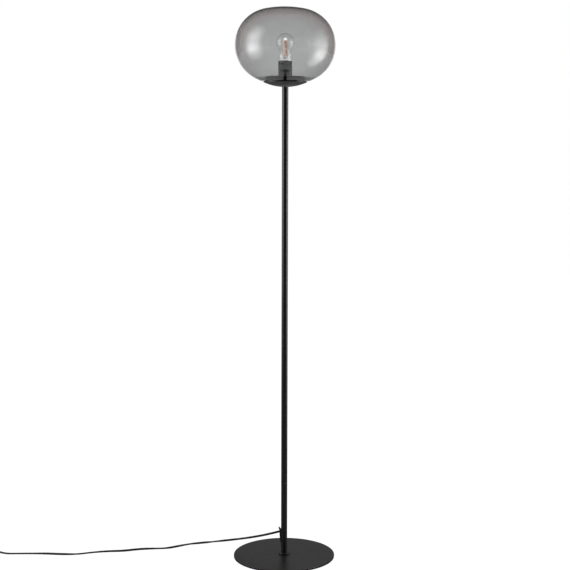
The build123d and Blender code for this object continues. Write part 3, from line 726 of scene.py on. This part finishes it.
class LAMP_OT_bulb(bpy.types.Operator):
    """Models the clear bulb: envelope, cap, stem and filaments"""

    bl_idname = "lamp.bulb"
    bl_label = "Bulb"

    def execute(self, context):
        settings = context.scene.lamp_bulb
        self.envelope(settings)
        stem = clear_glass("stem_glass", (0.8, 0.8, 0.79))
        stem.set("Transmission Weight", 0.45)
        stem.set("Roughness", 0.25)
        paint_nodes(stem.material, "bulb_stem")
        nickel = Finish("nickel", (0.82, 0.81, 0.79), roughness=0.35, metallic=0.55)
        nickel.uneven_gloss(size=0.002, low=0.3, high=0.42)
        nickel.grain(size=0.0005, height=0.000004)
        paint_nodes(nickel.material, "bulb_cap", "bulb_contact")
        paint_nodes(moulded_plastic("vitrite", (0.01, 0.01, 0.012), 0.2), "cap_insulator")
        paint_nodes(self.phosphor(settings, *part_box("filaments")), "filaments")
        paint_nodes(moulded_plastic("bead_ceramic", (0.9, 0.9, 0.88), 0.5), "filament_bead")
        return {"FINISHED"}

    def envelope(self, settings):
        """A round head that runs into the neck through one hollow blend."""
        low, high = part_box("bulb_envelope")
        radius = (high.x - low.x) / 2
        centre = high.z - radius
        side = NECK_RADIUS + NECK_BLEND
        drop = math.sqrt((radius + NECK_BLEND) ** 2 - side**2)
        turn = math.atan2(drop, side)

        def wall(inset):
            line = [(NECK_RADIUS - inset, low.z)]
            blend_centre = (side, centre - drop)
            line += arc(blend_centre, NECK_BLEND + inset, math.pi, math.pi - turn, NECK_POINTS)
            line += arc((0, centre), radius - inset, -turn, math.pi / 2, HEAD_POINTS)[1:]
            line[-1] = (0, line[-1][1])
            return line

        envelope = turned("bulb_globe", wall(0) + wall(settings.wall)[::-1], BULB_STEPS)
        dress(envelope, self.hazy_glass_with_highlight(low.z), "bulb", ["bulb_envelope"])

    def hazy_glass_with_highlight(self, foot):
        """Clear glass that turns milky white at the flare by the cap and, as a painted highlight,
        up the neck where it is seen edge on.
        """
        made = clear_glass("bulb_glass")
        height = made.split(made.place())["Z"]
        above = made.maths("SUBTRACT", height, foot + HAZE_HIGHLIGHT_START)
        # painted highlight: further up the neck only the parts seen most edge on turn white
        aslant = made.maths("SUBTRACT", made.edge_on(), made.times(above, HAZE_HIGHLIGHT_NARROWS))
        low = made.rest(made.ease(height, foot + HAZE_HIGHLIGHT_END[0], foot + HAZE_HIGHLIGHT_END[1]))
        haze_and_highlight = made.times(made.ease(aslant, 0.0, HAZE_HIGHLIGHT_BLUR), low)
        made.set("Transmission Weight", made.rest(made.times(haze_and_highlight, HAZE_HIGHLIGHT_MOST)))
        made.set("Base Color", made.colours(haze_and_highlight, WHITE, MILK_AND_HIGHLIGHT))
        return made.material

    def phosphor(self, settings, low, high):
        """Amber coat, rosier on the sticks whose backs show, with a bare joint part way up."""
        made = Finish("filament_coat", settings.filament_colour, roughness=0.6)
        axes = made.split(made.place())
        backs = made.ease(axes["X"], *BACKS_FROM)
        coat = made.colours(backs, settings.filament_colour, settings.back_colour)
        joint = low.z + JOINT_PLACE * (high.z - low.z)
        away = made.maths("ABSOLUTE", made.maths("SUBTRACT", axes["Z"], joint))
        made.set("Base Color", made.colours(made.ease(away, *JOINT_EDGE), BARE_COAT, coat))
        made.uneven_gloss(size=0.002, low=0.55, high=0.68)
        made.grain(size=0.0006, height=0.00001)
        return made.material


# ------------------------------------------------------------------ metal and plastic parts

# the dish's colour against the pole's lacquer: darker on its lip as a painted shadow in the gap
# round the seal, greyer on its underside and palest round the pole as painted reflections of the
# lit floor
DISH_LIP_SHADOW, DISH_UNDER_REFLECTION, DISH_MIDDLE_REFLECTION = 0.4, 8.5, 24
DISH_MIDDLE_RISE = 0.005
DISH_LIP_DROP = (0.003, 0.0018)

HOLDER_MATT = (0.021, 0.021, 0.021)
HOLDER_RING = (0.008, 0.008, 0.008)
HOLDER_RING_GLOSS = 0.15
HOLDER_RING_DROP = (0.0065, 0.0045)


class LAMP_OT_finishes(bpy.types.Operator):
    """Gives the pole, base, dish and lampholder their finishes, with painted shadow and reflections
    on the dish
    """

    bl_idname = "lamp.finishes"
    bl_label = "Finishes"

    def execute(self, context):
        metal = context.scene.lamp_metal
        lacquer = satin_lacquer("satin_black", metal.lacquer)
        paint_nodes(lacquer, "lower_pole", "upper_pole", "foot_collar", "glass_locator")
        paint_nodes(self.dish_lacquer_with_painted_light(metal.lacquer, *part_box("dish")), "dish")
        paint_nodes(powder_coat("base_powder_coat", metal.powder), "base_plate")
        felt = Finish("felt", (0.03, 0.03, 0.032), roughness=0.95)
        felt.uneven_colour(size=0.0015, low=(0.02, 0.02, 0.022), high=(0.045, 0.045, 0.047))
        felt.grain(size=0.0006, height=0.0002, detail=6)
        paint_nodes(felt.material, "base_pad")
        zinc = bare_metal("zinc_plate", (0.6, 0.6, 0.58), 0.35)
        paint_nodes(zinc, "base_screw", "foot_plug", "pole_coupler", "pole_top_bush")
        paint_nodes(zinc, "threaded_tube", "tube_nuts", "spacer_tube")
        brass = bare_metal("brass", (0.78, 0.57, 0.27), 0.25)
        paint_nodes(brass, "screw_shell", "centre_contact", "terminal_screws")
        paint_nodes(moulded_plastic("holder_smooth", HOLDER_RING, 0.3), "holder_base")
        paint_nodes(self.holder_plastic(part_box("holder_shell")[1].z), "holder_shell")
        paint_nodes(moulded_plastic("core_ceramic", (0.82, 0.81, 0.78), 0.6), "holder_core")
        paint_nodes(moulded_plastic("seal_rubber", (0.004, 0.004, 0.004), 0.8), "glass_seal")
        return {"FINISHED"}

    def dish_lacquer_with_painted_light(self, colour, low, high):
        """Satin black with painted light: a painted shadow darkens the lip round the seal, and
        painted reflections make it greyer below and palest round the pole.
        """
        made = Finish("dish_lacquer_with_painted_light", shade(colour, DISH_UNDER_REFLECTION), roughness=0.36)
        height = made.split(made.place())["Z"]
        # painted reflection: paler towards the bottom, round the pole
        outer = made.ease(height, low.z, low.z + DISH_MIDDLE_RISE)
        under = made.colours(outer, shade(colour, DISH_MIDDLE_REFLECTION), shade(colour, DISH_UNDER_REFLECTION))
        # painted shadow: a dark band on the lip round the seal
        lip = made.ease(height, high.z - DISH_LIP_DROP[0], high.z - DISH_LIP_DROP[1])
        made.set("Base Color", made.colours(lip, under, shade(colour, DISH_LIP_SHADOW)))
        made.uneven_gloss(size=0.006, low=0.33, high=0.40)
        made.grain(size=0.0009, height=0.000006)
        return made.material

    def holder_plastic(self, top):
        """Matt black with a glossier, darker ring round the mouth."""
        made = Finish("holder_matt", HOLDER_MATT, roughness=0.55)
        height = made.split(made.place())["Z"]
        ring = made.ease(height, top - HOLDER_RING_DROP[0], top - HOLDER_RING_DROP[1])
        made.set("Base Color", made.colours(ring, HOLDER_MATT, HOLDER_RING))
        matt = made.spread(made.noise(size=0.003), 0.5, 0.6)
        made.set("Roughness", made.mix(ring, matt, HOLDER_RING_GLOSS))
        made.grain(size=0.0006, height=0.00001)
        return made.material


# ------------------------------------------------------------------ cord

EXIT = (-0.0125, 0, 0.0652)
FLOOR_LINE = 0.0026  # height of the cord's middle on the floor
UPPER_LINE = 0.0082  # and where it enters and leaves the switch
CORD_ROUTE = [
    EXIT,
    (-0.03761, 0, 0.05847),
    (-0.072, 0.008, 0.0487),
    (-0.112, 0.026, 0.0368),
    (-0.152, 0.050, 0.0244),
    (-0.191, 0.074, 0.0122),
    (-0.226, 0.087, 0.0046),
    (-0.256, 0.083, FLOOR_LINE),
    (-0.283, 0.064, FLOOR_LINE),
    (-0.307, 0.0485, FLOOR_LINE),
    (-0.346, 0.045, FLOOR_LINE),
    (-0.385, 0.0385, FLOOR_LINE),
    (-0.421, 0.024, FLOOR_LINE),
    (-0.463, 0.0215, FLOOR_LINE),
    (-0.501, 0.012, FLOOR_LINE),
    (-0.535, -0.0025, FLOOR_LINE),
    (-0.576, -0.0045, FLOOR_LINE),
    (-0.617, 0.0005, FLOOR_LINE),
    (-0.656, 0.0015, FLOOR_LINE),
    (-0.692, 0.0, FLOOR_LINE),
    (-0.722, -0.001, FLOOR_LINE),
    (-0.745, 0, UPPER_LINE),
    (-0.759, 0, UPPER_LINE),
]
# along X: where the flat cord lies on its wide side (0 degrees) and where it stands on edge (90)
TWISTS = (
    (-0.76, 0), (-0.66, 25), (-0.585, 90), (-0.53, 15), (-0.385, 90), (-0.325, 20), (-0.29, 80),
    (-0.255, 25), (-0.218, 90), (-0.188, 15), (-0.146, 90), (-0.118, 50), (-0.053, 90),
    (-0.0125, 90),
)

SWITCH_EXIT = [(-0.831, 0, UPPER_LINE), (-0.846, 0, UPPER_LINE), (-0.861, 0, UPPER_LINE)]
COIL_CENTRE = (-0.875, 0.0366)
COIL_RADIUS = 0.0366
TURN_STEP = 0.0056
TURNS_IN = 3.0
TURNS_OUT = 3.25
UPPER_TURNS = 0.0089  # height of the turns that lie on others
DROP_TURNS = 0.5  # share of a turn in which the cord comes down from them
POINTS_PER_TURN = 16
COIL_END = 0.004  # the last turn runs on by this
PLUG_LINE = 0.00685
PLUG_ROUTE = ((0.0536, FLOOR_LINE), (0.0666, PLUG_LINE), (0.079, PLUG_LINE), (0.090, PLUG_LINE))

# the section of the flat cord: the valley between its cores, and how square its cores are
SECTION_POINTS = 20
VALLEY_DEPTH, VALLEY_WIDTH = 0.16, 0.16
CORE_SQUARENESS = 0.72
NEAR_FLOOR = 0.001  # a line this near the floor line rests on the floor
FLOOR_GAP = 0.0002


def coil_route():
    """Control points of the coil: in on the upper layer, out on the lower, then to the plug."""
    points = list(SWITCH_EXIT)
    # the spline runs inside its control points, so these lie a little further out
    swell = 1 / math.cos(math.pi / POINTS_PER_TURN) ** 0.5
    inner = COIL_RADIUS - TURN_STEP * TURNS_IN
    for k in range(round((TURNS_IN + TURNS_OUT) * POINTS_PER_TURN) + 1):
        turn = k / POINTS_PER_TURN
        angle = -math.pi / 2 - 2 * math.pi * turn
        radius = (inner + TURN_STEP * abs(turn - TURNS_IN)) * swell
        fall = min(max((turn - TURNS_IN) / DROP_TURNS + 0.5, 0), 1)
        drop = (UPPER_TURNS - FLOOR_LINE) * (1 - math.cos(math.pi * fall)) / 2
        x = COIL_CENTRE[0] + radius * math.cos(angle)
        y = COIL_CENTRE[1] + radius * math.sin(angle)
        points.append((x, y, UPPER_TURNS - drop))
    points[-1] = (x, y + COIL_END, FLOOR_LINE)
    return points + [(x, y, height) for y, height in PLUG_ROUTE]


def smooth_line(name, points):
    """Points along one NURBS spline whose control points are the route's points."""
    curve = bpy.data.curves.new(name, "CURVE")
    curve.dimensions = "3D"
    curve.resolution_u = 10
    spline = curve.splines.new("NURBS")
    spline.points.add(len(points) - 1)
    for knot, point in zip(spline.points, points):
        knot.co = (*point, 1)
    spline.order_u = 3
    spline.use_endpoint_u = True
    holder = bpy.data.objects.new(name, curve)
    bpy.context.scene.collection.objects.link(holder)
    bpy.context.view_layer.update()
    mesh = bpy.data.meshes.new_from_object(holder)
    line = [vertex.co.copy() for vertex in mesh.vertices]
    bpy.data.meshes.remove(mesh)
    bpy.data.objects.remove(holder)
    bpy.data.curves.remove(curve)
    return line


def between(table, place):
    """Value at a place, eased from one (place, value) row of a rising table to the next."""
    for (start, first), (end, second) in zip(table, table[1:]):
        if place <= end:
            share = min(max((place - start) / (end - start), 0), 1)
            return first + (second - first) * (1 - math.cos(math.pi * share)) / 2
    return table[-1][1]


def twin_section(width, thickness):
    """Outline of a flat twin cord: two round cores side by side with a shallow valley between."""
    outline = []
    for k in range(SECTION_POINTS):
        angle = 2 * math.pi * k / SECTION_POINTS
        across = math.cos(angle) * width / 2
        valley = 1 - VALLEY_DEPTH * math.exp(-((across / (VALLEY_WIDTH * width)) ** 2))
        bulge = math.copysign(abs(math.sin(angle)) ** CORE_SQUARENESS, math.sin(angle))
        outline.append((across, thickness / 2 * bulge * valley))
    return outline


def flat_cord(name, line, tilt_at, width, thickness):
    """A flat cord swept along a line and tilted about it, resting on the floor where that does."""
    section = twin_section(width, thickness)
    count = len(section)
    centre, vertices = [], []
    for k, point in enumerate(line):
        ahead = (line[min(k + 1, len(line) - 1)] - line[max(k - 1, 0)]).normalized()
        side = AXIS_UP.cross(ahead).normalized()
        top = ahead.cross(side)
        tilt = tilt_at(point)
        half = math.hypot(width / 2 * math.sin(tilt), thickness / 2 * math.cos(tilt))
        rest = point.copy()
        if point.z < FLOOR_LINE + NEAR_FLOOR:
            rest.z = point.z - FLOOR_LINE + half + FLOOR_GAP
        centre.append(rest)
        wide = side * math.cos(tilt) + top * math.sin(tilt)
        thin = top * math.cos(tilt) - side * math.sin(tilt)
        vertices += [rest + wide * across + thin * lift for across, lift in section]
    faces = []
    for start in range(0, len(vertices) - count, count):
        for s in range(count):
            here, there = start + s, start + (s + 1) % count
            faces.append((here, there, there + count, here + count))
    faces.append(tuple(reversed(range(count))))
    faces.append(tuple(range(len(vertices) - count, len(vertices))))
    mesh = bpy.data.meshes.new(name)
    mesh.from_pydata(vertices, [], faces)
    piece = bpy.data.objects.new(name, mesh)
    bpy.context.scene.collection.objects.link(piece)
    deselect()
    piece.select_set(True)
    bpy.context.view_layer.objects.active = piece
    bpy.ops.object.mode_set(mode="EDIT")
    bpy.ops.mesh.select_all(action="SELECT")
    bpy.ops.mesh.normals_make_consistent(inside=False)
    bpy.ops.object.mode_set(mode="OBJECT")
    bpy.ops.object.shade_smooth_by_angle(angle=math.radians(60))
    return piece, centre


class LAMP_OT_cord(bpy.types.Operator):
    """Lays the flat cord, its coil and what is on it"""

    bl_idname = "lamp.cord"
    bl_label = "Cord"

    def execute(self, context):
        settings = context.scene.lamp_cord
        size = (settings.width, settings.thickness)
        sheath = moulded_plastic("cord_sheath", settings.sheath, 0.4)

        def tilt_run(point):
            return math.radians(between(TWISTS, point.x))

        def tilt_coil(point):
            return math.pi / 2

        line = smooth_line("cord_route", CORD_ROUTE)
        run, centre = flat_cord("flat_cord", line, tilt_run, *size)
        dress(run, sheath, "lamp", ["cord_run"])
        line = smooth_line("coil_route", coil_route())
        coil, coil_centre = flat_cord("cord_coil_turns", line, tilt_coil, *size)
        dress(coil, sheath, "lamp", ["cord_coil", "plug_lead"])
        rubber = moulded_plastic("moulded_rubber", (0.012, 0.012, 0.012), 0.5)
        paint_nodes(rubber, "cord_hood", "pole_cable", "plug_body", "pin_sleeves")
        plastic = moulded_plastic("switch_plastic", (0.014, 0.014, 0.015), 0.3)
        paint_nodes(plastic, "switch_base", "switch_cover", "switch_button")
        paint_nodes(moulded_plastic("module_grey", (0.55, 0.55, 0.53), 0.5), "switch_module")
        paint_nodes(bare_metal("pin_nickel", (0.76, 0.75, 0.72), 0.2), "plug_pins")
        return {"FINISHED"}


# ------------------------------------------------------------------ panel, registration and the run

OPERATORS = (
    LAMP_OT_camera,
    LAMP_OT_cord,
    LAMP_OT_stage,
    LAMP_OT_finishes,
    LAMP_OT_globe,
    LAMP_OT_bulb,
)
SETTINGS = {
    "lamp_glass": GlassSettings,
    "lamp_bulb": BulbSettings,
    "lamp_metal": MetalSettings,
    "lamp_cord": CordSettings,
    "lamp_camera": CameraSettings,
}


class LAMP_PT_panel(bpy.types.Panel):
    """Lists the lamp's pieces, and the sizes and colours that can be changed"""

    bl_label = "Globe Floor Lamp"
    bl_idname = "LAMP_PT_panel"
    bl_space_type = "VIEW_3D"
    bl_region_type = "UI"
    bl_category = "Lamp"

    def draw(self, context):
        for operator in OPERATORS:
            self.layout.operator(operator.bl_idname)
        for name, group in SETTINGS.items():
            box = self.layout.box()
            for setting in group.__annotations__:
                box.prop(getattr(context.scene, name), setting)


def register():
    for name, group in SETTINGS.items():
        bpy.utils.register_class(group)
        setattr(bpy.types.Scene, name, bpy.props.PointerProperty(type=group))
    for operator in OPERATORS:
        bpy.utils.register_class(operator)
    bpy.utils.register_class(LAMP_PT_panel)


def unregister():
    bpy.utils.unregister_class(LAMP_PT_panel)
    for operator in reversed(OPERATORS):
        bpy.utils.unregister_class(operator)
    for name, group in SETTINGS.items():
        delattr(bpy.types.Scene, name)
        bpy.utils.unregister_class(group)


def main():
    register()
    bpy.context.scene.view_settings.view_transform = "Standard"
    for operator in OPERATORS:
        family, action = operator.bl_idname.split(".")
        getattr(getattr(bpy.ops, family), action)()


if __name__ == "__main__":
    main()
